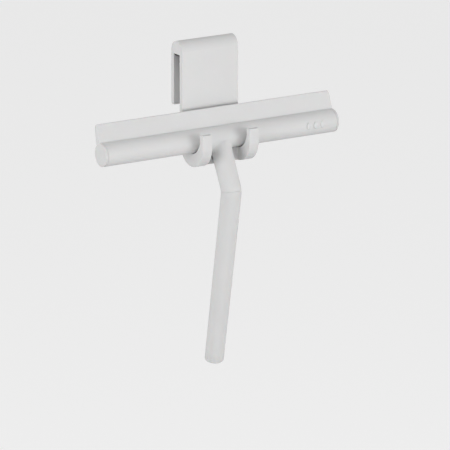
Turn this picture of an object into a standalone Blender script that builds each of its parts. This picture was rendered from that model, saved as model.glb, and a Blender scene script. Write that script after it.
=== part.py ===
"""Shower squeegee on its over-the-glass hanger.

The hanger is a silicone-covered steel strip. It hooks over the top edge of a glass panel and ends in
a cradle with two upturned hooks. The squeegee lies in the cradle by its round head, and its bent
handle hangs down through the notch between the hooks.

Frame: metres, +Z up, +X along the glass, +Y from the user's side through the glass. The origin is
the centre of the slot pad's underside, which stands on the top edge of the glass.
"""
import math

import bmesh
import bpy
from mathutils import Matrix, Vector

# clearances
GAP = 0.0003             # between any two neighbouring pieces
GLASS_SLACK = 0.0005     # play of the glass in the slot

# glass slot and strap
GLASS = 0.0080           # thickness of the panel that the hanger is made for
PAD_T = 0.0012           # slot pad
PAD_DROP = 0.0055        # how far the pad reaches down the front wall of the slot
PAD_INSET = 0.0005       # pad's ends, in from the strap's sides
STRAP_T = 0.0046
TOP_SOLID = 0.0119       # from the slot's roof to the top of the hanger
REAR_LEG = 0.0450        # from the slot's roof to the lower end of the rear leg
LEG_CAP_T = 0.0015
LEG_CAP_TONGUE = 0.0030

# cradle
HEAD_DROP = 0.0726       # from the origin down to the head's axis
STRAP_GAP = 0.0035       # head to the strap's front face
LIP_GAP = 0.0059         # head to the inner face of the lips
LIP_T = 0.0046
LIP_RISE = 0.0092        # top of the lips above the head's axis
FLOOR_T = 0.0118         # silicone under the head
HOOK_W = 0.0095
NOTCH_GAP = 0.0099       # handle to the hooks, on each side
NOTCH_AHEAD = 0.0019     # rear wall of the notch, in front of the head's axis
NOTCH_CORNER = 0.0010    # round corners at the rear of the notch
SCOOP_GAP = 0.0008       # room round the neck where it is let into the notch's rear wall

# steel strip inside the hanger
CORE_T = 0.0015
CORE_EDGE = 0.0020       # silicone beside the strip's edges

# squeegee head
HEAD_LENGTH = 0.2400
HEAD_R = 0.0105
HEAD_WALL = 0.0042       # silicone over the head's tube
TUBE_WALL = 0.0012
CAP_T = 0.0022
CAP_SPIGOT = 0.0080

# wiper blade, seen from its end
BLADE_PLACE = math.radians(25.4)   # where it stands round the head, back from the top
BLADE_LEAN = math.radians(15.3)    # its lean towards the glass
BLADE_HEIGHT = 0.0161
BLADE_BASE_T = 0.0063
BLADE_TIP_T = 0.0022
BLADE_STANDOFF = 0.0006  # base line above the head's surface
STEM_HALF = 0.0011       # T-shaped root of the blade
STEM_DEPTH = 0.0022
ROOT_HALF = 0.0022
ROOT_T = 0.0012

# handle
NECK_R = 0.0093          # the handle tapers evenly from the head
HANDLE_R = 0.0086        # to its lower end
GRIP_WALL = 0.0038       # silicone over the handle's tube
ROD_WALL = 0.0011
NECK_ANGLE = math.radians(26.8)    # neck: forwards from straight down
GRIP_ANGLE = math.radians(10.4)    # grip: backwards from straight down
NECK_LENGTH = 0.0492     # head's axis to the corner of the bend
GRIP_LENGTH = 0.1671     # corner of the bend to the end of the handle
BEND_R = 0.0160
FLARE = 0.0030           # how much the neck spreads along the head where it joins it
PLUG_T = 0.0030
PLUG_SPIGOT = 0.0090
PLUG_EDGE = 0.0020

# screw joint between head and handle
SCREW_R = 0.0020
SCREW_HEAD_R = 0.0032
SCREW_HEAD_H = 0.0023
SCREW_KEY_R = 0.0012
SCREW_LENGTH = 0.0155    # from under the head
INSERT_LENGTH = 0.0100
WASHER_R = 0.0034
WASHER_TOP = 0.0024      # flat top of the saddle washer, below the head's axis

# worked out
SLOT = GAP + PAD_T + GLASS + GLASS_SLACK
ROOF_Z = PAD_T + GAP
TOP_R = SLOT / 2 + STRAP_T
TOP_Z = ROOF_Z + TOP_SOLID
TOP_CENTRE_Z = TOP_Z - TOP_R
LEG_END_Z = ROOF_Z - REAR_LEG
STRAP_BACK_Y = -SLOT / 2
STRAP_FRONT_Y = STRAP_BACK_Y - STRAP_T
HEAD_Y = STRAP_FRONT_Y - STRAP_GAP - HEAD_R
HEAD_Z = -HEAD_DROP
LIP_INNER_Y = HEAD_Y - HEAD_R - LIP_GAP
LIP_FRONT_Y = LIP_INNER_Y - LIP_T
LIP_TOP_Z = HEAD_Z + LIP_RISE
FLOOR_Z = HEAD_Z - HEAD_R - GAP
CRADLE_R = (STRAP_BACK_Y - LIP_FRONT_Y) / 2
CRADLE_Y = STRAP_BACK_Y - CRADLE_R
CRADLE_Z = FLOOR_Z - FLOOR_T + CRADLE_R
NOTCH_HALF = NECK_R + NOTCH_GAP
HALF_W = NOTCH_HALF + HOOK_W
NOTCH_BACK_Y = HEAD_Y - NOTCH_AHEAD
CORE_INSET = (STRAP_T - CORE_T) / 2
HALF_HEAD = HEAD_LENGTH / 2
COVER_BORE = HEAD_R - HEAD_WALL
TUBE_R = COVER_BORE - GAP
TUBE_BORE = TUBE_R - TUBE_WALL
COVER_END = HALF_HEAD - CAP_T - GAP
GRIP_BORE = HANDLE_R - GRIP_WALL
ROD_R = GRIP_BORE - GAP
ROD_BORE = ROD_R - ROD_WALL
INSERT_R = ROD_BORE - GAP
SCREW_HOLE_R = SCREW_R + GAP
BEND_TURN = NECK_ANGLE + GRIP_ANGLE
BEND_TANGENT = BEND_R * math.tan(BEND_TURN / 2)
BEND_START = NECK_LENGTH - BEND_TANGENT
BEND_END = BEND_START + BEND_R * BEND_TURN
BEND_MIDDLE = (BEND_START + BEND_END) / 2
HANDLE_END = BEND_END + GRIP_LENGTH - BEND_TANGENT
SLEEVE_END = HANDLE_END - PLUG_T - GAP

ROUND_SIDES = 40
ARC_STEP = math.radians(9)
OVERCUT = 0.0040         # how far a cutter runs past what it cuts

MATERIALS = {
    "silicone": ((0.67, 0.67, 0.68), 0.62, 0.0),
    "blade silicone": ((0.69, 0.69, 0.70), 0.55, 0.0),
    "pad rubber": ((0.08, 0.08, 0.085), 0.70, 0.0),
    "spring steel": ((0.56, 0.57, 0.58), 0.35, 1.0),
    "steel tube": ((0.62, 0.62, 0.63), 0.30, 1.0),
    "screw steel": ((0.50, 0.50, 0.50), 0.28, 1.0),
    "brass": ((0.78, 0.60, 0.30), 0.32, 1.0),
}


def clear_scene():
    for obj in list(bpy.data.objects):
        bpy.data.objects.remove(obj, do_unlink=True)


def material(name):
    found = bpy.data.materials.get(name)
    if found:
        return found
    colour, roughness, metallic = MATERIALS[name]
    made = bpy.data.materials.new(name)
    made.use_nodes = True
    shader = made.node_tree.nodes["Principled BSDF"]
    shader.inputs["Base Color"].default_value = (*colour, 1.0)
    shader.inputs["Roughness"].default_value = roughness
    shader.inputs["Metallic"].default_value = metallic
    return made


def add_object(name, bm, parent=None, finish=None):
    """Puts the finished bmesh in the scene; a shape with no finish is a cutter."""
    bmesh.ops.remove_doubles(bm, verts=bm.verts, dist=1e-7)
    bmesh.ops.recalc_face_normals(bm, faces=bm.faces)
    mesh = bpy.data.meshes.new(name)
    bm.to_mesh(mesh)
    bm.free()
    obj = bpy.data.objects.new(name, mesh)
    bpy.context.collection.objects.link(obj)
    obj.parent = parent
    if finish:
        mesh.materials.append(material(finish))
        mesh.shade_smooth()
        mesh.set_sharp_from_angle(angle=math.radians(30))
    else:
        obj.hide_render = True
        obj.display_type = "WIRE"
    return obj


def combine(obj, other, operation="DIFFERENCE"):
    """Live Boolean of obj with other, which becomes a cutter."""
    other.hide_render = True
    other.display_type = "WIRE"
    step = obj.modifiers.new(other.name, "BOOLEAN")
    step.operation = operation
    step.solver = "EXACT"
    step.object = other


def prism(points, x_low, x_high):
    """Outline given as (y, z) points, extruded along X."""
    bm = bmesh.new()
    ring = [bm.verts.new((x_low, y, z)) for y, z in points]
    face = bm.faces.new(ring)
    grown = bmesh.ops.extrude_face_region(bm, geom=[face])["geom"]
    moved = [part for part in grown if isinstance(part, bmesh.types.BMVert)]
    bmesh.ops.translate(bm, verts=moved, vec=(x_high - x_low, 0, 0))
    return bm


def box(x_low, x_high, y_low, y_high, z_low, z_high):
    return prism([(y_low, z_low), (y_high, z_low), (y_high, z_high), (y_low, z_high)], x_low, x_high)


def arc(centre, radius, start, stop):
    """Points of an arc in the YZ plane; angles run from +Y towards +Z."""
    steps = max(2, math.ceil(abs(stop - start) / ARC_STEP))
    turns = [start + (stop - start) * i / steps for i in range(steps + 1)]
    return [(centre[0] + radius * math.cos(t), centre[1] + radius * math.sin(t)) for t in turns]


def x_cylinder(radius, x_low, x_high, sides=ROUND_SIDES):
    """Cylinder on the X axis of its own frame."""
    bm = bmesh.new()
    place = Matrix.Translation(((x_low + x_high) / 2, 0, 0)) @ Matrix.Rotation(math.pi / 2, 4, "Y")
    bmesh.ops.create_cone(bm, cap_ends=True, segments=sides, radius1=radius, radius2=radius,
                          depth=x_high - x_low, matrix=place)
    return bm


def handle_frame(distance):
    """Frame on the handle's centre line, that far from the head's axis; its z points down the handle."""
    turn = -NECK_ANGLE
    place = Vector((0, 0, 0))
    straight = min(distance, BEND_START)
    place += straight * Vector((0, math.sin(turn), -math.cos(turn)))
    if distance > BEND_START:
        bent = min(distance, BEND_END) - BEND_START
        after = turn + bent / BEND_R
        place += BEND_R * Vector((0, math.cos(turn) - math.cos(after), math.sin(turn) - math.sin(after)))
        turn = after
    if distance > BEND_END:
        place += (distance - BEND_END) * Vector((0, math.sin(turn), -math.cos(turn)))
    return Matrix.Translation(place) @ Matrix.Rotation(math.pi + turn, 4, "X")


def stations(start, stop):
    """Distances along the handle where a sweep needs a ring."""
    steps = math.ceil(BEND_TURN / ARC_STEP)
    bend = [BEND_START + (BEND_END - BEND_START) * i / steps for i in range(steps + 1)]
    return [start] + [s for s in bend if start + GAP < s < stop - GAP] + [stop]


def sweep(rings, sides=ROUND_SIDES):
    """Solid rod along the handle through (distance, half width, half depth) rings."""
    bm = bmesh.new()
    frames = [handle_frame(s) @ Matrix.Diagonal((rx, ry, 1, 1)) for s, rx, ry in rings]
    bmesh.ops.create_circle(bm, cap_ends=True, segments=sides, radius=1, matrix=frames[0])
    face = start = bm.faces[:][0]
    for before, after in zip(frames, frames[1:]):
        grown = bmesh.ops.extrude_face_region(bm, geom=[face])["geom"]
        moved = [part for part in grown if isinstance(part, bmesh.types.BMVert)]
        if face is not start:
            bmesh.ops.delete(bm, geom=[face], context="FACES_ONLY")
        face = next(part for part in grown if isinstance(part, bmesh.types.BMFace))
        bmesh.ops.transform(bm, matrix=after @ before.inverted(), verts=moved)
    return bm


def rod(radius, start, stop, sides=ROUND_SIDES):
    return sweep([(s, radius, radius) for s in stations(start, stop)], sides)


def handle_radius(distance):
    return NECK_R + (HANDLE_R - NECK_R) * distance / HANDLE_END


def neck_rings(stop, grow=0):
    """Rings of the neck from inside the head to stop, spread along the head where it joins it."""
    flare_end = HEAD_R + FLARE + grow
    radius = NECK_R + grow
    rings = [(HEAD_R / 3, radius + FLARE, radius)]
    steps = 5
    for i in range(steps + 1):
        turn = math.pi / 2 * i / steps
        distance = flare_end - FLARE * math.cos(turn)
        radius = handle_radius(distance) + grow
        rings.append((distance, radius + FLARE * (1 - math.sin(turn)), radius))
    for distance in stations(flare_end, stop)[1:]:
        radius = handle_radius(distance) + grow
        rings.append((distance, radius, radius))
    return rings


# ---------------------------------------------------------------- hanger

def hanger_outline():
    """Side view of the hanger's cover, once round from the lower end of the rear leg."""
    quarter = math.pi / 2
    back_r = HEAD_R + STRAP_GAP
    front_r = HEAD_R + LIP_GAP
    points = [(TOP_R, LEG_END_Z)]
    points += arc((0, TOP_CENTRE_Z), TOP_R, 0, math.pi)
    points += arc((HEAD_Y, FLOOR_Z + back_r), back_r, 0, -quarter)
    points += arc((HEAD_Y, FLOOR_Z + front_r), front_r, -quarter, -2 * quarter)[1:]
    points += [(LIP_INNER_Y, LIP_TOP_Z), (LIP_FRONT_Y, LIP_TOP_Z)]
    points += arc((CRADLE_Y, CRADLE_Z), CRADLE_R, math.pi, 2 * math.pi)
    points += [(STRAP_BACK_Y, ROOF_Z), (-STRAP_BACK_Y, ROOF_Z), (-STRAP_BACK_Y, LEG_END_Z)]
    return points


def notch(grow, name):
    """Cutter for the notch between the hooks; grow makes it larger all round."""
    back = NOTCH_BACK_Y + grow
    half = NOTCH_HALF + grow
    low = FLOOR_Z - FLOOR_T - OVERCUT
    high = LIP_TOP_Z + OVERCUT
    bm = box(-half, half, LIP_FRONT_Y - OVERCUT, back, low, high)
    corners = [e for e in bm.edges
               if all(abs(v.co.y - back) < 1e-6 and abs(abs(v.co.x) - half) < 1e-6 for v in e.verts)]
    bmesh.ops.bevel(bm, geom=corners, offset=NOTCH_CORNER + grow, segments=3, profile=0.5, affect="EDGES")
    return add_object(name, bm)


def neck_scoop(grow, name):
    """Cutter for the hollow in the notch's rear wall that the neck lies in."""
    bm = sweep(neck_rings(BEND_START, SCOOP_GAP + grow))
    bmesh.ops.translate(bm, verts=bm.verts, vec=(0, HEAD_Y, HEAD_Z))
    return add_object(name, bm)


def strip_outline(grow, leg_end_z):
    """Side view of the steel strip; grow makes it thicker on both sides and longer at the lips."""
    outer = CORE_INSET - grow
    inner = STRAP_T - CORE_INSET + grow
    tip = LIP_TOP_Z - CORE_INSET + grow
    points = [(TOP_R - outer, leg_end_z)]
    points += arc((0, TOP_CENTRE_Z), TOP_R - outer, 0, math.pi)
    points += arc((CRADLE_Y, CRADLE_Z), CRADLE_R - inner, 0, -math.pi)
    points += [(CRADLE_Y - CRADLE_R + inner, tip), (CRADLE_Y - CRADLE_R + outer, tip)]
    points += arc((CRADLE_Y, CRADLE_Z), CRADLE_R - outer, -math.pi, 0)
    points += arc((0, TOP_CENTRE_Z), TOP_R - inner, math.pi, 0)
    points += [(TOP_R - inner, leg_end_z)]
    return points


def strip(grow, leg_end_z, name, finish=None):
    half = HALF_W - CORE_EDGE + grow
    shape = add_object(name, prism(strip_outline(grow, leg_end_z), -half, half), finish=finish)
    combine(shape, notch(CORE_EDGE - grow, name + "_notch"))
    combine(shape, neck_scoop(CORE_EDGE - grow, name + "_scoop"))
    return shape


def make_hanger_core():
    strip(0, LEG_END_Z + LEG_CAP_TONGUE + GAP, "hanger_core", "spring steel")


def make_hanger_cover():
    cover = add_object("hanger_cover", prism(hanger_outline(), -HALF_W, HALF_W), finish="silicone")
    combine(cover, notch(0, "cover_notch"))
    combine(cover, neck_scoop(0, "cover_scoop"))
    combine(cover, strip(GAP, LEG_END_Z - OVERCUT, "strip_pocket"))


def make_rear_leg_cap():
    """Closes the pocket at the lower end of the rear leg with a tongue in it."""
    top = LEG_END_Z - GAP
    middle = TOP_R - STRAP_T / 2
    half_t = CORE_T / 2
    points = [(TOP_R, top), (middle + half_t, top), (middle + half_t, LEG_END_Z + LEG_CAP_TONGUE),
              (middle - half_t, LEG_END_Z + LEG_CAP_TONGUE), (middle - half_t, top),
              (TOP_R - STRAP_T, top), (TOP_R - STRAP_T, top - LEG_CAP_T), (TOP_R, top - LEG_CAP_T)]
    cap = add_object("rear_leg_cap", prism(points, -HALF_W, HALF_W), finish="silicone")
    tongue_half = HALF_W - CORE_EDGE
    for side in (-1, 1):
        ends = sorted((side * tongue_half, side * (HALF_W + OVERCUT)))
        trim = box(*ends, middle - STRAP_T, middle + STRAP_T, top, top + OVERCUT)
        combine(cap, add_object(f"tongue_trim_{'left' if side < 0 else 'right'}", trim))


def make_slot_pad():
    front = STRAP_BACK_Y + GAP
    back = -STRAP_BACK_Y - GAP
    points = [(front, PAD_T), (front, -PAD_DROP), (front + PAD_T, -PAD_DROP), (front + PAD_T, 0),
              (back, 0), (back, PAD_T)]
    half = HALF_W - PAD_INSET
    add_object("slot_pad", prism(points, -half, half), finish="pad rubber")


# ---------------------------------------------------------------- squeegee head

def blade_point(across, along, lean=BLADE_LEAN):
    """(y, z) point measured across the blade, and along it from its base line."""
    reach = HEAD_R + BLADE_STANDOFF
    lean_y, lean_z = math.sin(lean), math.cos(lean)
    return (reach * math.sin(BLADE_PLACE) + along * lean_y + across * lean_z,
            reach * math.cos(BLADE_PLACE) + along * lean_z - across * lean_y)


def root_outline(grow, top):
    """T-shaped root of the blade, pointing at the head's axis, or the groove for it."""
    neck = -STEM_DEPTH + grow
    foot = -STEM_DEPTH - ROOT_T - grow
    stem = STEM_HALF + grow
    wide = ROOT_HALF + grow
    return [blade_point(*p, BLADE_PLACE) for p in ((-stem, top), (-stem, neck), (-wide, neck), (-wide, foot),
                                                   (wide, foot), (wide, neck), (stem, neck), (stem, top))]


def make_wiper_blade(squeegee):
    """Tapered blade with a curved foot that sits on the head and a T-shaped root in its groove."""
    below = -HEAD_R / 3
    slope = (BLADE_BASE_T - BLADE_TIP_T) / 2 / BLADE_HEIGHT
    foot_half = BLADE_BASE_T / 2 - slope * below
    tip_half = BLADE_TIP_T / 2
    bevel = tip_half / 2
    wedge = [blade_point(*p) for p in (
        (-foot_half, below), (foot_half, below), (tip_half, BLADE_HEIGHT - bevel),
        (tip_half - bevel, BLADE_HEIGHT), (bevel - tip_half, BLADE_HEIGHT), (-tip_half, BLADE_HEIGHT - bevel))]
    blade = add_object("wiper_blade", prism(wedge, -HALF_HEAD, HALF_HEAD), squeegee, "blade silicone")
    seat = x_cylinder(HEAD_R + GAP, -HALF_HEAD - OVERCUT, HALF_HEAD + OVERCUT)
    combine(blade, add_object("blade_seat", seat, squeegee))
    root_half = COVER_END - GAP
    root = prism(root_outline(0, BLADE_STANDOFF + GAP * 2), -root_half, root_half)
    combine(blade, add_object("blade_root", root, squeegee), "UNION")


def make_head_cover(squeegee):
    cover = add_object("head_cover", x_cylinder(HEAD_R, -COVER_END, COVER_END), squeegee, "silicone")
    reach = COVER_END + OVERCUT
    combine(cover, add_object("cover_bore", x_cylinder(COVER_BORE, -reach, reach), squeegee))
    combine(cover, add_object("cover_groove", prism(root_outline(GAP, HEAD_R), -reach, reach), squeegee))
    combine(cover, add_object("cover_neck_hole", rod(GRIP_BORE, TUBE_R / 2, HEAD_R + OVERCUT), squeegee))


def make_head_core(squeegee):
    """Steel tube with a screw hole towards the neck and a larger driver hole opposite."""
    core = add_object("head_core", x_cylinder(TUBE_R, -COVER_END, COVER_END), squeegee, "steel tube")
    reach = COVER_END + OVERCUT
    combine(core, add_object("core_bore", x_cylinder(TUBE_BORE, -reach, reach), squeegee))
    combine(core, add_object("core_screw_hole", rod(SCREW_HOLE_R, 0, HEAD_R, 20), squeegee))
    driver_hole = rod(SCREW_HEAD_R + 2 * GAP, -HEAD_R, 0, 20)
    combine(core, add_object("core_driver_hole", driver_hole, squeegee))


def make_end_cap(squeegee, side, name):
    """Disc with a spigot in the head's tube."""
    inner = HALF_HEAD - CAP_T
    disc_ends = sorted((side * inner, side * HALF_HEAD))
    cap = add_object(name, x_cylinder(HEAD_R, *disc_ends), squeegee, "silicone")
    spigot_ends = sorted((side * (inner - CAP_SPIGOT), side * (inner + CAP_T / 2)))
    spigot = x_cylinder(TUBE_BORE - GAP, *spigot_ends)
    combine(cap, add_object(name + "_spigot", spigot, squeegee), "UNION")


# ---------------------------------------------------------------- neck joint and handle

def make_saddle_washer(squeegee):
    """Flat on top for the screw's head, round below to lie in the tube."""
    washer = add_object("saddle_washer", rod(WASHER_R, WASHER_TOP, TUBE_R, 28), squeegee, "steel tube")
    saddle = x_cylinder(TUBE_BORE - GAP, -HEAD_R, HEAD_R)
    combine(washer, add_object("washer_saddle", saddle, squeegee), "INTERSECT")
    combine(washer, add_object("washer_hole", rod(SCREW_HOLE_R, 0, HEAD_R, 20), squeegee))


def make_neck_screw(squeegee):
    seat = WASHER_TOP - GAP
    top = seat - SCREW_HEAD_H
    screw = add_object("neck_screw", rod(SCREW_HEAD_R, top, seat, 28), squeegee, "screw steel")
    shank = rod(SCREW_R, seat - SCREW_HEAD_H / 4, seat + SCREW_LENGTH, 20)
    combine(screw, add_object("screw_shank", shank, squeegee), "UNION")
    key = rod(SCREW_KEY_R, top - OVERCUT, top + SCREW_HEAD_H / 2, 6)
    combine(screw, add_object("screw_key", key, squeegee))


def make_threaded_insert(squeegee):
    start = TUBE_R + 3 * GAP
    insert = add_object("threaded_insert", rod(INSERT_R, start, start + INSERT_LENGTH, 28), squeegee, "brass")
    hole = rod(SCREW_HOLE_R, start - OVERCUT, start + INSERT_LENGTH + OVERCUT, 20)
    combine(insert, add_object("insert_hole", hole, squeegee))


def make_handle_core(squeegee):
    """Bent steel tube, coped at its top to sit on the head's tube."""
    core = add_object("handle_core", rod(ROD_R, TUBE_R / 2, SLEEVE_END, 28), squeegee, "steel tube")
    combine(core, add_object("handle_bore", rod(ROD_BORE, 0, SLEEVE_END + OVERCUT, 28), squeegee))
    cope = x_cylinder(TUBE_R + GAP, -HEAD_R, HEAD_R)
    combine(core, add_object("handle_cope", cope, squeegee))


def make_neck_grip(squeegee):
    """Sleeve from the head to the bend, spread along the head where it joins it."""
    grip = add_object("neck_grip", sweep(neck_rings(BEND_MIDDLE - GAP / 2)), squeegee, "silicone")
    combine(grip, add_object("neck_bore", rod(GRIP_BORE, 0, BEND_MIDDLE + OVERCUT, 28), squeegee))
    cope = x_cylinder(HEAD_R + GAP, -2 * HEAD_R, 2 * HEAD_R)
    combine(grip, add_object("neck_cope", cope, squeegee))


def make_lower_grip(squeegee):
    rings = [(s, handle_radius(s), handle_radius(s)) for s in stations(BEND_MIDDLE + GAP / 2, SLEEVE_END)]
    grip = add_object("lower_grip", sweep(rings), squeegee, "silicone")
    bore = rod(GRIP_BORE, BEND_MIDDLE - OVERCUT, SLEEVE_END + OVERCUT, 28)
    combine(grip, add_object("lower_bore", bore, squeegee))


def make_handle_end_plug(squeegee):
    """Rounded end of the handle, held by a spigot in the handle's tube."""
    face = HANDLE_END - PLUG_T
    rings = [(face, handle_radius(face), handle_radius(face))]
    for i in range(4):
        turn = math.pi / 2 * i / 3
        radius = handle_radius(face) - PLUG_EDGE * (1 - math.cos(turn))
        rings.append((HANDLE_END - PLUG_EDGE * (1 - math.sin(turn)), radius, radius))
    plug = add_object("handle_end_plug", sweep(rings), squeegee, "silicone")
    spigot = rod(ROD_BORE - GAP, face - PLUG_SPIGOT, face + PLUG_T / 2, 28)
    combine(plug, add_object("plug_spigot", spigot, squeegee), "UNION")


def main():
    clear_scene()
    make_hanger_core()
    make_hanger_cover()
    make_rear_leg_cap()
    make_slot_pad()
    squeegee = bpy.data.objects.new("squeegee", None)
    squeegee.location = (0, HEAD_Y, HEAD_Z)
    bpy.context.collection.objects.link(squeegee)
    make_head_cover(squeegee)
    make_head_core(squeegee)
    make_wiper_blade(squeegee)
    make_end_cap(squeegee, -1, "end_cap_left")
    make_end_cap(squeegee, 1, "end_cap_right")
    make_saddle_washer(squeegee)
    make_neck_screw(squeegee)
    make_threaded_insert(squeegee)
    make_handle_core(squeegee)
    make_neck_grip(squeegee)
    make_lower_grip(squeegee)
    make_handle_end_plug(squeegee)
    bpy.context.view_layer.update()


main()
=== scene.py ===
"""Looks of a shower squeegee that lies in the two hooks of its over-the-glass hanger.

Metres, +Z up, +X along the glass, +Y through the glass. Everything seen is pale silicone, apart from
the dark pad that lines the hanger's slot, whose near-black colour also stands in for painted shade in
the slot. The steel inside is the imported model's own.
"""
import math

import bmesh
import bpy
from mathutils import Matrix, Vector


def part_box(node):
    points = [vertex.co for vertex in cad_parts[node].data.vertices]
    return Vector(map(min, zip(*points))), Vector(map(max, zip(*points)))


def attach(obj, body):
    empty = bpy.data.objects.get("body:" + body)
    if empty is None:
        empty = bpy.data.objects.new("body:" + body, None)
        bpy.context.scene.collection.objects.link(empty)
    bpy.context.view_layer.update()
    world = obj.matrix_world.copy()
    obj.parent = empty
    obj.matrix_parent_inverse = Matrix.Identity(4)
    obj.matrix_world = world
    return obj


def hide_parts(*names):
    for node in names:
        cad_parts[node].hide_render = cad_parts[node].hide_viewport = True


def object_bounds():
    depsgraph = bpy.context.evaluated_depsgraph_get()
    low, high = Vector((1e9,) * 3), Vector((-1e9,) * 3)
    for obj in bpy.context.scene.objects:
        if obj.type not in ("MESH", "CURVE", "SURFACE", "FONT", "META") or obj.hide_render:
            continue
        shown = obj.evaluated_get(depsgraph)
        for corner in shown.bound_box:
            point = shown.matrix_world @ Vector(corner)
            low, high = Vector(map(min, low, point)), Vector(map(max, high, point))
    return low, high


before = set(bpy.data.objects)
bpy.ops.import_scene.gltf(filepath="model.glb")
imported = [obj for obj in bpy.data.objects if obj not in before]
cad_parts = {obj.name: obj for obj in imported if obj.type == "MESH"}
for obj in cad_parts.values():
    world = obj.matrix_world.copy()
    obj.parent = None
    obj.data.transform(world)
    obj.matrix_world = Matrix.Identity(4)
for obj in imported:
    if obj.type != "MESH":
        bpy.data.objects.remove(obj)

CAD_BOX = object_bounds()

# places taken from the frame
COVER_LOW, COVER_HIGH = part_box("hanger_cover")
PAD_LOW, PAD_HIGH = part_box("slot_pad")
LEG_CAP_LOW, LEG_CAP_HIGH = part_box("rear_leg_cap")
CAP_LOW, CAP_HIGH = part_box("end_cap_right")
SKIN_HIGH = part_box("head_cover")[1]
BLADE_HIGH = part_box("wiper_blade")[1]

HEAD_R = (CAP_HIGH.z - CAP_LOW.z) / 2
HEAD = Vector((0, (CAP_LOW.y + CAP_HIGH.y) / 2, (CAP_LOW.z + CAP_HIGH.z) / 2))
HALF_HEAD = CAP_HIGH.x
PIECE_GAP = 0.0003       # between neighbouring pieces
CAP_LOW_X = SKIN_HIGH.x + PIECE_GAP      # inner faces of the head's ends
CAP_RIM = 0.0010         # soft outer rim of the head's ends

# hanger
HALF_W = COVER_HIGH.x
REAR_Y = COVER_HIGH.y
STRAP_T = LEG_CAP_HIGH.y - LEG_CAP_LOW.y
SLOT_Y = REAR_Y - STRAP_T
LIP_FRONT_Y = COVER_LOW.y
LEG_CAP_T = 0.0015
COVER_LEG_END = LEG_CAP_LOW.z + LEG_CAP_T + PIECE_GAP
LIP_T = 0.0046
LIP_RISE = 0.0092
LIP_GAP = 0.0059
STRAP_GAP = 0.0035
NOTCH_HALF = 0.0192
NOTCH_AHEAD = 0.0019     # rear wall of the notch, in front of the head's axis
NOTCH_CORNER = 0.0010
SCOOP_GAP = 0.0008       # room round the neck where it is let into the notch's rear wall
HANGER_EDGE = 0.0007     # rounding of the moulded edges
PAD_EDGE = 0.00012
RIB_PITCH = 0.0016       # ribs along the slot's pad
RIB_SHARE = 1 / 6        # their depth, as a share of the pad's thickness

# blade
BLADE_PLACE = math.radians(25.4)
BLADE_LEAN = math.radians(15.3)
BLADE_HEIGHT = 0.0161
BLADE_BASE_T = 0.0063
BLADE_TIP_T = 0.0022
BLADE_STANDOFF = 0.0006
BLADE_SINK = 0.0016
BLADE_CORNER = 0.0016    # rounded corners at the two ends of the tip
BLADE_EDGE = 0.0003

# handle
NECK_R = 0.0093          # the handle tapers evenly from the head
HANDLE_R = 0.0086        # to its lower end
NECK_ANGLE = math.radians(26.8)
GRIP_ANGLE = math.radians(10.4)
NECK_LENGTH = 0.0492
GRIP_LENGTH = 0.1671
BEND_R = 0.0160
NECK_BLEND = 0.0030      # rolling-ball radius where the neck flows into the head
NECK_SINK = 0.00002      # its upper rim lies this far under the head's surface
NECK_CLEAR = 0.0040      # first plain ring of the neck, below the blend
PLUG_T = 0.0030
END_ROUND = 0.0020
END_DOME = 0.0004
SEAM = 0.00004           # half width of a parting line
SEAM_ROUND = 0.00010

BEND_TURN = NECK_ANGLE + GRIP_ANGLE
BEND_TANGENT = BEND_R * math.tan(BEND_TURN / 2)
BEND_START = NECK_LENGTH - BEND_TANGENT
BEND_END = BEND_START + BEND_R * BEND_TURN
BEND_MIDDLE = (BEND_START + BEND_END) / 2
HANDLE_END = BEND_END + GRIP_LENGTH - BEND_TANGENT

# raised marks on the head
MARK_COUNT = 3
MARK_PITCH = 0.0072
MARK_X = 0.0950
MARK_TURN = math.radians(4)      # up from the front of the head
MARK_LENGTH = 0.0070
MARK_WIDTH = 0.0048
MARK_TAPER = 0.75
MARK_PROUD = 0.00070
MARK_SINK = 0.00020
MARK_STEPS = ((0.05, 0.60), (0.09, 0.25), (0.20, 0.10), (0.25, 0.05))    # inwards and up, domed

# fineness
SIDES = 96
FINE_STEP = math.radians(4)
SHARP_EDGE = math.radians(28)

# studio
WORLD_SIDE = 0.76        # glow of the room at eye level
WORLD_TOP = 0.52         # and overhead
FLOOR_DROP = 0.30        # floor below the handle's end
FLOOR_HALF = 14
FLOOR_PALE = (0.62, 0.62, 0.62, 1)
FLOOR_GLOW = 0.42        # lifts the floor to near white without lighting the undersides
KEY_PLACE, KEY_POWER = Vector((1.3, -2.2, -0.35)), 37
SIDE_PLACE, SIDE_POWER = Vector((-2.2, -0.5, 0.1)), 20
LAMP_SIZE = 1.6
VIEW_TURN = math.radians(31.24)          # camera round to the user's left
VIEW_RISE = math.radians(15.67)          # and looking down by this much
VIEW_DISTANCE = 4.0
VIEW_WIDTH = 0.397176    # width seen at that distance
HEAD_RIGHT = -0.005711   # middle of the head from the centre of the view
HEAD_UP = 0.077370

# ---------------------------------------------------------------- shader groups

def new_group(name, inputs, outputs):
    """Empty node group with (name, kind, default) inputs and (name, kind) outputs."""
    group = bpy.data.node_groups.new(name, "ShaderNodeTree")
    for label, kind, value in inputs:
        socket = group.interface.new_socket(name=label, in_out="INPUT", socket_type=kind)
        socket.default_value = value
    for label, kind in outputs:
        group.interface.new_socket(name=label, in_out="OUTPUT", socket_type=kind)
    return group, group.nodes.new("NodeGroupInput"), group.nodes.new("NodeGroupOutput")


def add_node(tree, kind, links=(), **settings):
    """New node with its settings, and (input, value or output socket) pairs."""
    node = tree.nodes.new(kind)
    for key, value in settings.items():
        setattr(node, key, value)
    for label, source in links:
        if isinstance(source, bpy.types.NodeSocket):
            tree.links.new(source, node.inputs[label])
        else:
            node.inputs[label].default_value = source
    return node


def mix_colour(tree, factor, first, second):
    """From the first colour to the second; a colour mix keeps them at inputs 6 and 7."""
    return add_node(tree, "ShaderNodeMix", ((0, factor), (6, first), (7, second)), data_type="RGBA").outputs[2]


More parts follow.
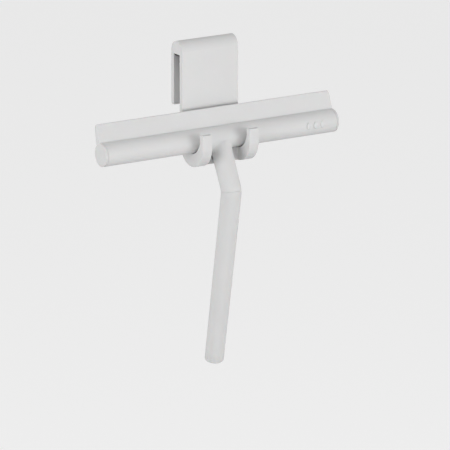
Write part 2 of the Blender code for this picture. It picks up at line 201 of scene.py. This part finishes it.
def work_out(tree, operation, first, second):
    """Sum, difference or product of two values."""
    return add_node(tree, "ShaderNodeMath", ((0, first), (1, second)), operation=operation).outputs[0]


def object_place(tree):
    return add_node(tree, "ShaderNodeTexCoord").outputs["Object"]


def remap(tree, value, low, high):
    """Value between 0 and 1 spread over low to high."""
    return add_node(tree, "ShaderNodeMapRange", (("Value", value), ("To Min", low), ("To Max", high))).outputs[0]


def moulded_grain_group():
    """Fine stipple of a bead-blasted mould, with a soft unevenness under it."""
    group, given, out = new_group(
        "moulded grain",
        (("Grain Size", "NodeSocketFloat", 2600.0), ("Grain", "NodeSocketFloat", 1.0),
         ("Unevenness", "NodeSocketFloat", 1.0)),
        (("Height", "NodeSocketFloat"), ("Mask", "NodeSocketFloat")))
    place = object_place(group)
    stipple = add_node(group, "ShaderNodeTexVoronoi", (("Vector", place), ("Scale", given.outputs["Grain Size"])),
                       feature="SMOOTH_F1")
    speck = add_node(group, "ShaderNodeTexNoise", (
        ("Vector", place), ("Scale", given.outputs["Grain Size"]), ("Detail", 3.0), ("Roughness", 0.6)))
    swell = add_node(group, "ShaderNodeTexNoise", (("Vector", place), ("Scale", 55.0), ("Detail", 2.0)))
    fine = work_out(group, "ADD", stipple.outputs["Distance"], speck.outputs["Fac"])
    fine = work_out(group, "MULTIPLY", fine, given.outputs["Grain"])
    broad = work_out(group, "MULTIPLY", swell.outputs["Fac"], given.outputs["Unevenness"])
    group.links.new(work_out(group, "ADD", fine, broad), out.inputs["Height"])
    group.links.new(speck.outputs["Fac"], out.inputs["Mask"])
    return group


def handled_group():
    """Where hands and water leave silicone a little darker, glossier or dusty."""
    group, given, out = new_group(
        "handled silicone",
        (("Colour", "NodeSocketColor", (0.7, 0.7, 0.7, 1)), ("Roughness", "NodeSocketFloat", 0.6),
         ("Mottling", "NodeSocketFloat", 0.04), ("Spots", "NodeSocketFloat", 0.03)),
        (("Colour", "NodeSocketColor"), ("Roughness", "NodeSocketFloat")))
    place = object_place(group)
    cloud = add_node(group, "ShaderNodeTexNoise", (("Vector", place), ("Scale", 38.0), ("Detail", 4.0),
                                                   ("Roughness", 0.55)))
    drops = add_node(group, "ShaderNodeTexVoronoi", (("Vector", place), ("Scale", 170.0), ("Randomness", 1.0)),
                     feature="F1")
    ring = add_node(group, "ShaderNodeMapRange", (
        ("Value", drops.outputs["Distance"]), ("From Min", 0.10), ("From Max", 0.22), ("To Min", 1.0),
        ("To Max", 0.0)))
    mottle = work_out(group, "MULTIPLY", cloud.outputs["Fac"], given.outputs["Mottling"])
    spot = work_out(group, "MULTIPLY", ring.outputs[0], given.outputs["Spots"])
    darker = mix_colour(group, mottle, given.outputs["Colour"], (0.0, 0.0, 0.0, 1))
    paler = mix_colour(group, spot, darker, (1.0, 1.0, 1.0, 1))
    rough = work_out(group, "ADD", given.outputs["Roughness"], spot)
    rough = work_out(group, "SUBTRACT", rough, mottle)
    group.links.new(paler, out.inputs["Colour"])
    group.links.new(rough, out.inputs["Roughness"])
    return group


def painted_edge_light_group():
    """Painted highlight along convex edges and painted shade in the corners."""
    group, given, out = new_group(
        "painted edge highlight and corner shade",
        (("Colour", "NodeSocketColor", (0.7, 0.7, 0.7, 1)), ("Edge Highlight", "NodeSocketFloat", 0.25),
         ("Corner Shade", "NodeSocketFloat", 0.25)),
        (("Colour", "NodeSocketColor"),))
    bent = add_node(group, "ShaderNodeNewGeometry").outputs["Pointiness"]
    # painted highlight: convex edges, found by pointiness, are mixed towards pale grey
    edge = add_node(group, "ShaderNodeMapRange", (("Value", bent), ("From Min", 0.52), ("From Max", 0.60)))
    # painted shade: concave corners, found by pointiness, are mixed towards dark grey
    corner = add_node(group, "ShaderNodeMapRange", (("Value", bent), ("From Min", 0.48), ("From Max", 0.40)))
    edge = work_out(group, "MULTIPLY", edge.outputs[0], given.outputs["Edge Highlight"])
    corner = work_out(group, "MULTIPLY", corner.outputs[0], given.outputs["Corner Shade"])
    paler = mix_colour(group, edge, given.outputs["Colour"], (0.92, 0.92, 0.92, 1))
    darker = mix_colour(group, corner, paler, (0.30, 0.29, 0.28, 1))
    group.links.new(darker, out.inputs["Colour"])
    return group


def drawn_metal_group():
    """Fine lines left by rolling or drawing, along the short axis of Stretch, and a faint stain."""
    group, given, out = new_group(
        "drawn metal",
        (("Colour", "NodeSocketColor", (0.6, 0.6, 0.6, 1)), ("Stretch", "NodeSocketVector", (0.03, 1.0, 1.0)),
         ("Roughness", "NodeSocketFloat", 0.32)),
        (("Colour", "NodeSocketColor"), ("Roughness", "NodeSocketFloat"), ("Height", "NodeSocketFloat")))
    place = object_place(group)
    along = add_node(group, "ShaderNodeMapping", (("Vector", place), ("Scale", given.outputs["Stretch"])))
    lines = add_node(group, "ShaderNodeTexNoise", (("Vector", along.outputs[0]), ("Scale", 4200.0),
                                                   ("Detail", 3.0)))
    stain = add_node(group, "ShaderNodeTexNoise", (("Vector", place), ("Scale", 90.0), ("Detail", 3.0)))
    tint = remap(group, stain.outputs["Fac"], 0.0, 0.16)
    dulled = mix_colour(group, tint, given.outputs["Colour"], (0.28, 0.27, 0.26, 1))
    spread = remap(group, lines.outputs["Fac"], -0.08, 0.10)
    rough = work_out(group, "ADD", given.outputs["Roughness"], spread)
    group.links.new(dulled, out.inputs["Colour"])
    group.links.new(rough, out.inputs["Roughness"])
    group.links.new(lines.outputs["Fac"], out.inputs["Height"])
    return group


GRAIN = moulded_grain_group()
HANDLED = handled_group()
EDGES = painted_edge_light_group()
DRAWN = drawn_metal_group()


# ---------------------------------------------------------------- materials

def new_material(name, **constants):
    """Principled material with the named constants set, its node tree and its shader."""
    made = bpy.data.materials.new(name)
    made.use_nodes = True
    shader = made.node_tree.nodes["Principled BSDF"]
    for label, value in constants.items():
        shader.inputs[label.replace("_", " ")].default_value = value
    return made, made.node_tree, shader


def group_node(tree, group, links):
    return add_node(tree, "ShaderNodeGroup", links, node_tree=group)


def silicone(name, colour, *, roughness, grain, grain_size, bump, mottling, spots, edge):
    """Soft matt silicone with mould grain, handling marks, painted highlight on its convex edges and painted
    shade in its corners.
    """
    made, tree, shader = new_material(name, Subsurface_Weight=0.06, Subsurface_Scale=0.004,
                                      Specular_IOR_Level=0.42, Sheen_Weight=0.05, Sheen_Roughness=0.5)
    worn = group_node(tree, HANDLED, (("Colour", (*colour, 1)), ("Roughness", roughness),
                                       ("Mottling", mottling), ("Spots", spots)))
    # painted highlight on the edges and painted shade in the corners, laid over the handled colour
    painted_edge_colour = group_node(tree, EDGES, (("Colour", worn.outputs["Colour"]), ("Edge Highlight", edge), ("Corner Shade", 0.10)))
    texture = group_node(tree, GRAIN, (("Grain Size", grain_size), ("Grain", grain), ("Unevenness", 0.6)))
    relief = add_node(tree, "ShaderNodeBump", (("Height", texture.outputs["Height"]), ("Strength", 0.7),
                                               ("Distance", bump)))
    tree.links.new(painted_edge_colour.outputs["Colour"], shader.inputs["Base Color"])
    tree.links.new(worn.outputs["Roughness"], shader.inputs["Roughness"])
    tree.links.new(relief.outputs[0], shader.inputs["Normal"])
    return made


def metal(name, colour, roughness, stretch):
    """Bare metal with fine drawing lines."""
    made, tree, shader = new_material(name, Metallic=1.0)
    drawn = group_node(tree, DRAWN, (("Colour", (*colour, 1)), ("Roughness", roughness), ("Stretch", stretch)))
    relief = add_node(tree, "ShaderNodeBump", (("Height", drawn.outputs["Height"]), ("Strength", 0.4),
                                               ("Distance", 0.00002)))
    tree.links.new(drawn.outputs["Colour"], shader.inputs["Base Color"])
    tree.links.new(drawn.outputs["Roughness"], shader.inputs["Roughness"])
    tree.links.new(relief.outputs[0], shader.inputs["Normal"])
    return made


PALE = (0.715, 0.714, 0.712)
SKIN = silicone("pale silicone skin", PALE, roughness=0.60, grain=1.0, grain_size=2200.0, bump=0.00012,
                mottling=0.06, spots=0.03, edge=0.10)
GRIP = silicone("pale silicone grip", PALE, roughness=0.64, grain=1.2, grain_size=1900.0, bump=0.00015,
                mottling=0.07, spots=0.02, edge=0.08)
BLADE = silicone("smooth blade silicone", (0.720, 0.720, 0.720), roughness=0.60, grain=0.35, grain_size=2800.0,
                 bump=0.00006, mottling=0.045, spots=0.04, edge=0.10)
# near-black rubber of the slot pad; its darkness is also painted shade standing in for the shadowed slot
DARK_PAD_AND_PAINTED_SLOT_SHADE = silicone("dark pad rubber and painted slot shade", (0.022, 0.022, 0.023), roughness=0.72, grain=1.5, grain_size=1500.0,
               bump=0.00016, mottling=0.20, spots=0.03, edge=0.02)
STRIP_STEEL = metal("rolled strip steel", (0.56, 0.57, 0.58), 0.34, (0.03, 1.0, 1.0))
TUBE_STEEL = metal("drawn tube steel", (0.62, 0.62, 0.63), 0.30, (0.03, 1.0, 1.0))
ROD_STEEL = metal("drawn handle tube steel", (0.62, 0.62, 0.63), 0.30, (1.0, 1.0, 0.03))
SCREW_STEEL = metal("zinc plated screw", (0.52, 0.53, 0.55), 0.28, (1.0, 1.0, 1.0))
BRASS = metal("turned brass", (0.78, 0.60, 0.30), 0.32, (1.0, 1.0, 1.0))


# ---------------------------------------------------------------- mesh helpers

def finish_piece(name, bm, body, nodes, finish):
    """Makes the object, shades it smooth, and says what it rides on and stands for."""
    bmesh.ops.remove_doubles(bm, verts=bm.verts, dist=1e-6)
    bmesh.ops.recalc_face_normals(bm, faces=bm.faces)
    mesh = bpy.data.meshes.new(name)
    bm.to_mesh(mesh)
    bm.free()
    mesh.materials.append(finish)
    mesh.shade_smooth()
    obj = bpy.data.objects.new(name, mesh)
    bpy.context.collection.objects.link(obj)
    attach(obj, body)
    if nodes:
        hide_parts(*nodes)
    return obj


def round_edges(obj, width, segments=3):
    """Rounds the sharp edges and keeps the large faces flat in shade."""
    bevel = obj.modifiers.new("rounded edges", "BEVEL")
    bevel.width = width
    bevel.segments = segments
    bevel.limit_method = "ANGLE"
    bevel.angle_limit = SHARP_EDGE
    bevel.harden_normals = True


def carve(obj, bm):
    """Cuts the closed shape bm out of obj."""
    mesh = bpy.data.meshes.new("cutter")
    bm.to_mesh(mesh)
    bm.free()
    cutter = bpy.data.objects.new("cutter", mesh)
    bpy.context.collection.objects.link(cutter)
    step = obj.modifiers.new("carve", "BOOLEAN")
    step.operation = "DIFFERENCE"
    step.solver = "EXACT"
    step.object = cutter
    bpy.context.view_layer.update()
    carved = bpy.data.meshes.new_from_object(obj.evaluated_get(bpy.context.evaluated_depsgraph_get()))
    obj.modifiers.remove(step)
    old = obj.data
    obj.data = carved
    bpy.data.meshes.remove(old)
    bpy.data.objects.remove(cutter, do_unlink=True)
    bpy.data.meshes.remove(mesh)


def moved_verts(grown):
    """Points that an extrusion made."""
    return [part for part in grown["geom"] if isinstance(part, bmesh.types.BMVert)]


class Outline:
    """Side view drawn in the YZ plane at one X with lines and arcs, then pushed out along X."""

    def __init__(self, x, y, z):
        self.bm = bmesh.new()
        self.start = self.end = self.bm.verts.new((x, y, z))

    def line_to(self, y, z):
        """Straight edge to (y, z)."""
        grown = bmesh.ops.extrude_vert_indiv(self.bm, verts=[self.end])
        self.end = grown["verts"][0]
        self.end.co = (self.start.co.x, y, z)

    def arc(self, y, z, angle):
        """Turns about (y, z), positive from +Y towards +Z."""
        steps = max(2, math.ceil(abs(angle) / FINE_STEP))
        before = set(self.bm.verts)
        bmesh.ops.spin(self.bm, geom=[self.end], cent=(self.start.co.x, y, z), axis=(1, 0, 0), angle=angle,
                       steps=steps, use_duplicate=False)
        centre = Vector((self.start.co.x, y, z))
        aim = Matrix.Rotation(angle, 3, "X") @ (self.end.co - centre) + centre
        self.end = min((v for v in self.bm.verts if v not in before), key=lambda v: (v.co - aim).length)

    def solid(self, x_high):
        """Closes the outline and pushes it out to x_high."""
        self.bm.edges.new((self.end, self.start))
        face = bmesh.ops.contextual_create(self.bm, geom=self.bm.edges[:])["faces"]
        grown = bmesh.ops.extrude_face_region(self.bm, geom=face)
        bmesh.ops.translate(self.bm, verts=moved_verts(grown), vec=(x_high - self.start.co.x, 0, 0))
        bmesh.ops.recalc_face_normals(self.bm, faces=self.bm.faces)
        return self.bm


def handle_frame(distance):
    """Frame on the handle's centre line, that far from the head's axis; its z points down the handle."""
    turn = -NECK_ANGLE
    place = HEAD.copy()
    straight = min(distance, BEND_START)
    place += straight * Vector((0, math.sin(turn), -math.cos(turn)))
    if distance > BEND_START:
        bent = min(distance, BEND_END) - BEND_START
        after = turn + bent / BEND_R
        place += BEND_R * Vector((0, math.cos(turn) - math.cos(after), math.sin(turn) - math.sin(after)))
        turn = after
    if distance > BEND_END:
        place += (distance - BEND_END) * Vector((0, math.sin(turn), -math.cos(turn)))
    return Matrix.Translation(place) @ Matrix.Rotation(math.pi + turn, 4, "X")


def bend_distances(start, stop):
    """Even steps round the handle's bend that lie between start and stop."""
    steps = math.ceil(BEND_TURN / FINE_STEP)
    bend = [BEND_START + (BEND_END - BEND_START) * i / steps for i in range(steps + 1)]
    return [s for s in bend if start < s < stop]


class Tube:
    """Skin grown ring by ring; each ring is a function from the turn round it to a point."""

    def __init__(self, ring):
        self.bm = bmesh.new()
        self.verts = bmesh.ops.create_circle(self.bm, cap_ends=False, segments=SIDES, radius=1)["verts"]
        self.turns = [2 * math.pi * i / SIDES for i in range(SIDES)]
        self.place(self.verts, ring)

    def place(self, verts, ring):
        for vert, turn in zip(verts, self.turns):
            vert.co = ring(turn)

    def grow(self, ring):
        """Adds a band out to the next ring."""
        edges = [e for e in self.bm.edges if all(v in self.verts for v in e.verts)]
        follow = {}
        grown = bmesh.ops.extrude_edge_only(self.bm, edges=edges)
        fresh = set(moved_verts(grown))
        for vert in self.verts:
            follow[vert] = next(e.other_vert(vert) for e in vert.link_edges if e.other_vert(vert) in fresh)
        self.verts = [follow[vert] for vert in self.verts]
        self.place(self.verts, ring)

    def cap(self):
        self.bm.faces.new(self.verts)


def handle_radius(distance):
    """Radius of the evenly tapered handle, that far from the head's axis."""
    return NECK_R + (HANDLE_R - NECK_R) * distance / HANDLE_END


def handle_ring(distance, radius):
    frame_here = handle_frame(distance)
    return lambda turn: frame_here @ Vector((radius * math.cos(turn), radius * math.sin(turn), 0))


def rounded_end(tube, edge, size, dome=0.0, steps=6):
    """Rolls the tube's end over a round edge and closes it with a shallow dome."""
    full = handle_radius(edge)
    for i in range(1, steps + 1):
        turn = math.pi / 2 * i / steps
        tube.grow(handle_ring(edge - size * (1 - math.sin(turn)), full - size * (1 - math.cos(turn))))
    for share in (0.75, 0.5, 0.25, 0.08):
        tube.grow(handle_ring(edge + dome * (1 - share ** 2), (full - size) * share))
    tube.cap()


# ---------------------------------------------------------------- hanger

def hanger_skin():
    """Moulded cover: rear leg, round top, front strap, thick cradle floor and the two hooks."""
    pad_top = PAD_HIGH.z + PIECE_GAP
    floor = HEAD.z - HEAD_R - PIECE_GAP
    back_r = HEAD_R + STRAP_GAP
    front_r = HEAD_R + LIP_GAP
    cradle_r = (-SLOT_Y - LIP_FRONT_Y) / 2
    cradle_y = -SLOT_Y - cradle_r
    cradle_z = COVER_LOW.z + cradle_r
    lip_top = HEAD.z + LIP_RISE
    side = Outline(-HALF_W, REAR_Y, COVER_LEG_END)
    side.line_to(REAR_Y, COVER_HIGH.z - REAR_Y)
    side.arc(0, COVER_HIGH.z - REAR_Y, math.pi)
    side.line_to(-REAR_Y, floor + back_r)
    side.arc(HEAD.y, floor + back_r, -math.pi / 2)
    side.arc(HEAD.y, floor + front_r, -math.pi / 2)
    side.line_to(LIP_FRONT_Y + LIP_T, lip_top)
    side.line_to(LIP_FRONT_Y, lip_top)
    side.line_to(LIP_FRONT_Y, cradle_z)
    side.arc(cradle_y, cradle_z, math.pi)
    side.line_to(-SLOT_Y, pad_top)
    side.line_to(SLOT_Y, pad_top)
    side.line_to(SLOT_Y, COVER_LEG_END)
    obj = finish_piece("hanger_skin", side.solid(HALF_W), "hanger", ["hanger_cover"], SKIN)
    carve(obj, notch_shape())
    carve(obj, neck_scoop())
    round_edges(obj, HANGER_EDGE)


def notch_shape():
    """Open-fronted notch between the hooks, with round rear corners."""
    bm = bmesh.new()
    back = HEAD.y - NOTCH_AHEAD
    front = LIP_FRONT_Y - HEAD_R
    low = COVER_LOW.z - HEAD_R
    high = HEAD.z + LIP_RISE + HEAD_R
    place = Matrix.Translation((0, (front + back) / 2, (low + high) / 2))
    size = Matrix.Diagonal((2 * NOTCH_HALF, back - front, high - low, 1))
    bmesh.ops.create_cube(bm, size=1, matrix=place @ size)
    rear = [e for e in bm.edges if all(abs(v.co.y - back) < 1e-6 for v in e.verts)
            and abs(e.verts[0].co.z - e.verts[1].co.z) > HEAD_R]
    bmesh.ops.bevel(bm, geom=rear, offset=NOTCH_CORNER, segments=4, profile=0.5, affect="EDGES", material=-1)
    return bm


def neck_scoop():
    """Hollow in the notch's rear wall that the neck lies in."""
    def ring(distance, wide, deep):
        frame_here = handle_frame(distance)
        return lambda turn: frame_here @ Vector((wide * math.cos(turn), deep * math.sin(turn), 0))

    flare_end = HEAD_R + NECK_BLEND + SCOOP_GAP
    radius = NECK_R + SCOOP_GAP
    tube = Tube(ring(HEAD_R / 3, radius + NECK_BLEND, radius))
    tube.cap()
    for i in range(7):
        turn = math.pi / 2 * i / 6
        distance = flare_end - NECK_BLEND * math.cos(turn)
        radius = handle_radius(distance) + SCOOP_GAP
        tube.grow(ring(distance, radius + NECK_BLEND * (1 - math.sin(turn)), radius))
    radius = handle_radius(BEND_START) + SCOOP_GAP
    tube.grow(ring(BEND_START, radius, radius))
    tube.cap()
    bmesh.ops.recalc_face_normals(tube.bm, faces=tube.bm.faces)
    return tube.bm


def leg_end_cap():
    """Cap on the lower end of the rear leg, a hairline below the skin."""
    top = COVER_LEG_END - 2 * SEAM
    side = Outline(-HALF_W, SLOT_Y, top)
    side.line_to(REAR_Y, top)
    side.line_to(REAR_Y, LEG_CAP_LOW.z)
    side.line_to(SLOT_Y, LEG_CAP_LOW.z)
    obj = finish_piece("rear_leg_end", side.solid(HALF_W), "hanger", ["rear_leg_cap"], SKIN)
    round_edges(obj, HANGER_EDGE)


def slot_lining():
    """L-shaped rubber pad with shallow ribs along the glass; its near-black colour is partly painted shade in the
    slot.
    """
    thick = PAD_HIGH.z
    groove = thick * RIB_SHARE
    side = Outline(-PAD_HIGH.x, PAD_LOW.y, PAD_HIGH.z)
    side.line_to(PAD_LOW.y, PAD_LOW.z)
    front = PAD_LOW.y + thick
    side.line_to(front, PAD_LOW.z)
    for i in range(int((-PAD_LOW.z - RIB_PITCH) / RIB_PITCH)):
        low = PAD_LOW.z + RIB_PITCH * (i + 0.4)
        side.line_to(front, low)
        side.line_to(front - groove, low + RIB_PITCH * 0.2)
        side.line_to(front - groove, low + RIB_PITCH * 0.4)
        side.line_to(front, low + RIB_PITCH * 0.6)
    side.line_to(front, 0)
    side.line_to(PAD_HIGH.y, 0)
    side.line_to(PAD_HIGH.y, PAD_HIGH.z)
    obj = finish_piece("slot_lining", side.solid(PAD_HIGH.x), "hanger", ["slot_pad"], DARK_PAD_AND_PAINTED_SLOT_SHADE)
    round_edges(obj, PAD_EDGE, 2)


# ---------------------------------------------------------------- squeegee

def x_barrel(x_low, x_high, radius, round_low, round_high, steps=6):
    """Closed round bar along the head's axis with rounded rims."""
    def ring(x, r):
        return lambda turn: Vector((x, HEAD.y + r * math.cos(turn), HEAD.z + r * math.sin(turn)))

    rims = []
    for x, size, inward in ((x_low, round_low, 1), (x_high, round_high, -1)):
        rim = [(x, (radius - size) * share) for share in (0.1, 0.6, 0.9)]
        for i in range(steps + 1):
            turn = math.pi / 2 * i / steps
            rim.append((x + inward * size * (1 - math.cos(turn)), radius - size * (1 - math.sin(turn))))
        rims += rim[::inward]
    tube = Tube(ring(*rims[0]))
    tube.cap()
    for rim in rims[1:]:
        tube.grow(ring(*rim))
    tube.cap()
    return tube.bm


def head_skin():
    """Sleeve of the head, up to a hairline from its ends."""
    reach = SKIN_HIGH.x + SEAM
    finish_piece("head_skin", x_barrel(-reach, reach, HEAD_R, SEAM, SEAM, 2), "squeegee", ["head_cover"],
                 SKIN)


def end_discs():
    """Flush ends of the head, with a soft outer rim."""
    inner = CAP_LOW_X + SEAM
    discs = {"left": x_barrel(-HALF_HEAD, -inner, HEAD_R, CAP_RIM, SEAM),
             "right": x_barrel(inner, HALF_HEAD, HEAD_R, SEAM, CAP_RIM)}
    for name, bm in discs.items():
        finish_piece(f"end_disc_{name}", bm, "squeegee", [f"end_cap_{name}"], SKIN)


def blade_point(across, along):
    """(y, z) of a point across the blade's thickness and along it from its base line."""
    reach = HEAD_R + BLADE_STANDOFF
    lean_y, lean_z = math.sin(BLADE_LEAN), math.cos(BLADE_LEAN)
    return (HEAD.y + reach * math.sin(BLADE_PLACE) + along * lean_y + across * lean_z,
            HEAD.z + reach * math.cos(BLADE_PLACE) + along * lean_z - across * lean_y)


def wiping_blade():
    """Tapered blade with a slim squared lip, rooted in the head."""
    base = BLADE_BASE_T / 2
    tip = BLADE_TIP_T / 2
    foot = base + (base - tip) * BLADE_SINK / BLADE_HEIGHT
    chamfer = tip / 2
    side = Outline(-HALF_HEAD, *blade_point(-foot, -BLADE_SINK))
    side.line_to(*blade_point(-tip, BLADE_HEIGHT - chamfer))
    side.line_to(*blade_point(chamfer - tip, BLADE_HEIGHT))
    side.line_to(*blade_point(tip - chamfer, BLADE_HEIGHT))
    side.line_to(*blade_point(tip, BLADE_HEIGHT - chamfer))
    side.line_to(*blade_point(foot, -BLADE_SINK))
    bm = side.solid(HALF_HEAD)
    top = BLADE_HIGH.z - BLADE_CORNER
    ends = [e for e in bm.edges if e.verts[0].co.z > top and e.verts[1].co.z > top
            and abs(abs(e.verts[0].co.x) - HALF_HEAD) < 1e-6 and abs(e.verts[0].co.x - e.verts[1].co.x) < 1e-6]
    bmesh.ops.bevel(bm, geom=ends, offset=BLADE_CORNER, segments=4, profile=0.5, affect="EDGES", material=-1)
    obj = finish_piece("wiping_blade", bm, "squeegee", ["wiper_blade"], BLADE)
    round_edges(obj, BLADE_EDGE, 2)


def neck_skin():
    """Neck that flows into the head along a rolling-ball blend and ends at the parting line."""
    ball = NECK_BLEND
    across = handle_frame(0).to_3x3() @ Vector((0, 1, 0))
    down = handle_frame(0).to_3x3() @ Vector((0, 0, 1))

    def blend_ring(share):
        def point(turn):
            out = NECK_R + ball
            x, q = out * math.cos(turn), out * math.sin(turn)
            s = math.sqrt((HEAD_R + ball) ** 2 - q * q)
            centre = HEAD + Vector((x, 0, 0)) + q * across + s * down
            to_neck = -(Vector((math.cos(turn), 0, 0)) + math.sin(turn) * across)
            to_head = -((q * across + s * down) / (HEAD_R + ball))
            reach = to_neck.angle(to_head)
            a = math.sin((1 - share) * reach) / math.sin(reach)
            b = math.sin(share * reach) / math.sin(reach)
            return centre + (ball + NECK_SINK * (1 - share)) * (a * to_head + b * to_neck)
        return point

    tube = Tube(handle_ring(HEAD_R / 2, NECK_R / 2))
    tube.cap()
    for i in range(13):
        tube.grow(blend_ring(i / 12))
    stop = BEND_MIDDLE - SEAM
    begin = HEAD_R + ball + NECK_CLEAR
    for s in [begin] + bend_distances(begin, stop - SEAM_ROUND):
        tube.grow(handle_ring(s, handle_radius(s)))
    tube.grow(handle_ring(stop - SEAM_ROUND, handle_radius(stop)))
    rounded_end(tube, stop, SEAM_ROUND, 0, 3)
    finish_piece("neck_skin", tube.bm, "squeegee", ["neck_grip"], SKIN)


def grip_skin():
    """Lower sleeve of the handle, from the parting line in the bend to the end piece."""
    start = BEND_MIDDLE + SEAM
    stop = HANDLE_END - PLUG_T - SEAM
    inner = handle_radius(start) - SEAM_ROUND
    tube = Tube(handle_ring(start, inner * 0.08))
    tube.cap()
    for share in (0.25, 0.5, 0.75):
        tube.grow(handle_ring(start, inner * share))
    for i in range(4):
        turn = math.pi / 2 * i / 3
        tube.grow(handle_ring(start + SEAM_ROUND * (1 - math.cos(turn)), inner + SEAM_ROUND * math.sin(turn)))
    for s in bend_distances(start + SEAM_ROUND, BEND_END + SEAM_ROUND):
        tube.grow(handle_ring(s, handle_radius(s)))
    for i in range(1, 20):
        s = BEND_END + (stop - SEAM - BEND_END) * i / 19
        tube.grow(handle_ring(s, handle_radius(s)))
    rounded_end(tube, stop, SEAM, 0, 2)
    finish_piece("grip_skin", tube.bm, "squeegee", ["lower_grip"], GRIP)


def grip_end():
    """Softly rounded end of the handle."""
    start = HANDLE_END - PLUG_T
    tube = Tube(handle_ring(start, HANDLE_R * 0.1))
    tube.cap()
    for radius in (HANDLE_R * 0.6, HANDLE_R - SEAM):
        tube.grow(handle_ring(start, radius))
    tube.grow(handle_ring(start + SEAM, handle_radius(start)))
    tube.grow(handle_ring(HANDLE_END - END_ROUND - END_DOME, HANDLE_R))
    rounded_end(tube, HANDLE_END - END_DOME, END_ROUND, END_DOME, 8)
    finish_piece("grip_end", tube.bm, "squeegee", ["handle_end_plug"], GRIP)


def drop_marks():
    """Three plain raised drops on the front of the head, near its right end."""
    bm = bmesh.new()
    for i in range(MARK_COUNT):
        made = bmesh.ops.create_circle(bm, cap_ends=True, segments=40, radius=1)
        face = made["verts"][0].link_faces[0]
        drop = set(made["verts"])
        grown = bmesh.ops.extrude_face_region(bm, geom=[face])["geom"]
        drop |= {part for part in grown if isinstance(part, bmesh.types.BMVert)}
        top = next(part for part in grown if isinstance(part, bmesh.types.BMFace))
        bmesh.ops.translate(bm, verts=top.verts, vec=(0, 0, 1))
        bmesh.ops.delete(bm, geom=[face], context="FACES_ONLY")
        for thickness, rise in MARK_STEPS:
            before = set(bm.verts)
            bmesh.ops.inset_region(bm, faces=[top], thickness=thickness, use_even_offset=True)
            drop |= set(bm.verts) - before
            bmesh.ops.translate(bm, verts=top.verts, vec=(0, 0, rise))
        shift = (i - (MARK_COUNT - 1) / 2) * MARK_PITCH
        for vert in drop:
            point = 1 - MARK_TAPER * max(0.0, vert.co.y) ** 2
            x = MARK_X + shift + vert.co.x * MARK_WIDTH / 2 * point
            turn = MARK_TURN + vert.co.y * MARK_LENGTH / 2 / HEAD_R
            out = HEAD_R - MARK_SINK + (MARK_SINK + MARK_PROUD) * vert.co.z / 2
            vert.co = (x, HEAD.y - out * math.cos(turn), HEAD.z + out * math.sin(turn))
    finish_piece("drop_marks", bm, "squeegee", [], SKIN)


def dress_inner_parts():
    """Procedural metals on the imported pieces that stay."""
    finishes = {"hanger_core": STRIP_STEEL, "head_core": TUBE_STEEL, "saddle_washer": TUBE_STEEL,
                "neck_screw": SCREW_STEEL, "threaded_insert": BRASS, "handle_core": ROD_STEEL}
    for name, finish in finishes.items():
        bpy.data.objects[name].material_slots[0].material = finish


# ---------------------------------------------------------------- stage, light and camera

def stage_floor():
    """Plain pale floor."""
    bm = bmesh.new()
    bmesh.ops.create_grid(bm, x_segments=1, y_segments=1, size=FLOOR_HALF)
    bmesh.ops.translate(bm, verts=bm.verts, vec=(0, 0, CAD_BOX[0].z - FLOOR_DROP))
    mesh = bpy.data.meshes.new("studio_floor")
    bm.to_mesh(mesh)
    bm.free()
    made, tree, shader = new_material("pale studio floor", Base_Color=FLOOR_PALE, Roughness=0.9,
                                      Specular_IOR_Level=0.1, Emission_Color=(1, 1, 1, 1))
    seen = add_node(tree, "ShaderNodeLightPath").outputs["Is Camera Ray"]
    tree.links.new(work_out(tree, "MULTIPLY", seen, FLOOR_GLOW), shader.inputs["Emission Strength"])
    mesh.materials.append(made)
    floor = bpy.data.objects.new("studio_floor", mesh)
    bpy.context.collection.objects.link(floor)


def soft_light(name, place, power):
    """Large round lamp aimed at the head."""
    light = bpy.data.lights.new(name, "AREA")
    light.shape = "DISK"
    light.size = LAMP_SIZE
    light.energy = power
    obj = bpy.data.objects.new(name, light)
    obj.location = place
    obj.rotation_euler = (HEAD - obj.location).to_track_quat("-Z", "Y").to_euler()
    bpy.context.collection.objects.link(obj)


def studio_light():
    """Room glow that is weaker overhead, and two soft lamps."""
    world = bpy.data.worlds.new("studio")
    world.use_nodes = True
    back = world.node_tree.nodes["Background"]
    back.inputs["Color"].default_value = (1.0, 1.0, 1.0, 1)
    tree = world.node_tree
    sight = add_node(tree, "ShaderNodeTexCoord").outputs["Generated"]
    height = add_node(tree, "ShaderNodeSeparateXYZ", (("Vector", sight),)).outputs["Z"]
    tree.links.new(remap(tree, height, WORLD_SIDE, WORLD_TOP), back.inputs["Strength"])
    bpy.context.scene.world = world
    soft_light("key", KEY_PLACE, KEY_POWER)
    soft_light("side", SIDE_PLACE, SIDE_POWER)


def add_camera():
    """Long lens from the user's left, a little above the head."""
    ahead = Vector((math.sin(VIEW_TURN) * math.cos(VIEW_RISE), math.cos(VIEW_TURN) * math.cos(VIEW_RISE),
                    -math.sin(VIEW_RISE)))
    right = Vector((math.cos(VIEW_TURN), -math.sin(VIEW_TURN), 0))
    up = right.cross(ahead)
    data = bpy.data.cameras.new("camera")
    data.lens = data.sensor_width * VIEW_DISTANCE / VIEW_WIDTH
    data.clip_end = 60
    camera = bpy.data.objects.new("camera", data)
    camera.location = HEAD - right * HEAD_RIGHT - up * HEAD_UP - ahead * VIEW_DISTANCE
    camera.rotation_euler = ahead.to_track_quat("-Z", "Y").to_euler()
    bpy.context.collection.objects.link(camera)
    bpy.context.scene.camera = camera


add_camera()
hanger_skin()
leg_end_cap()
slot_lining()
head_skin()
end_discs()
wiping_blade()
neck_skin()
grip_skin()
grip_end()
drop_marks()
dress_inner_parts()
stage_floor()
studio_light()
bpy.context.scene.view_settings.view_transform = "Standard"
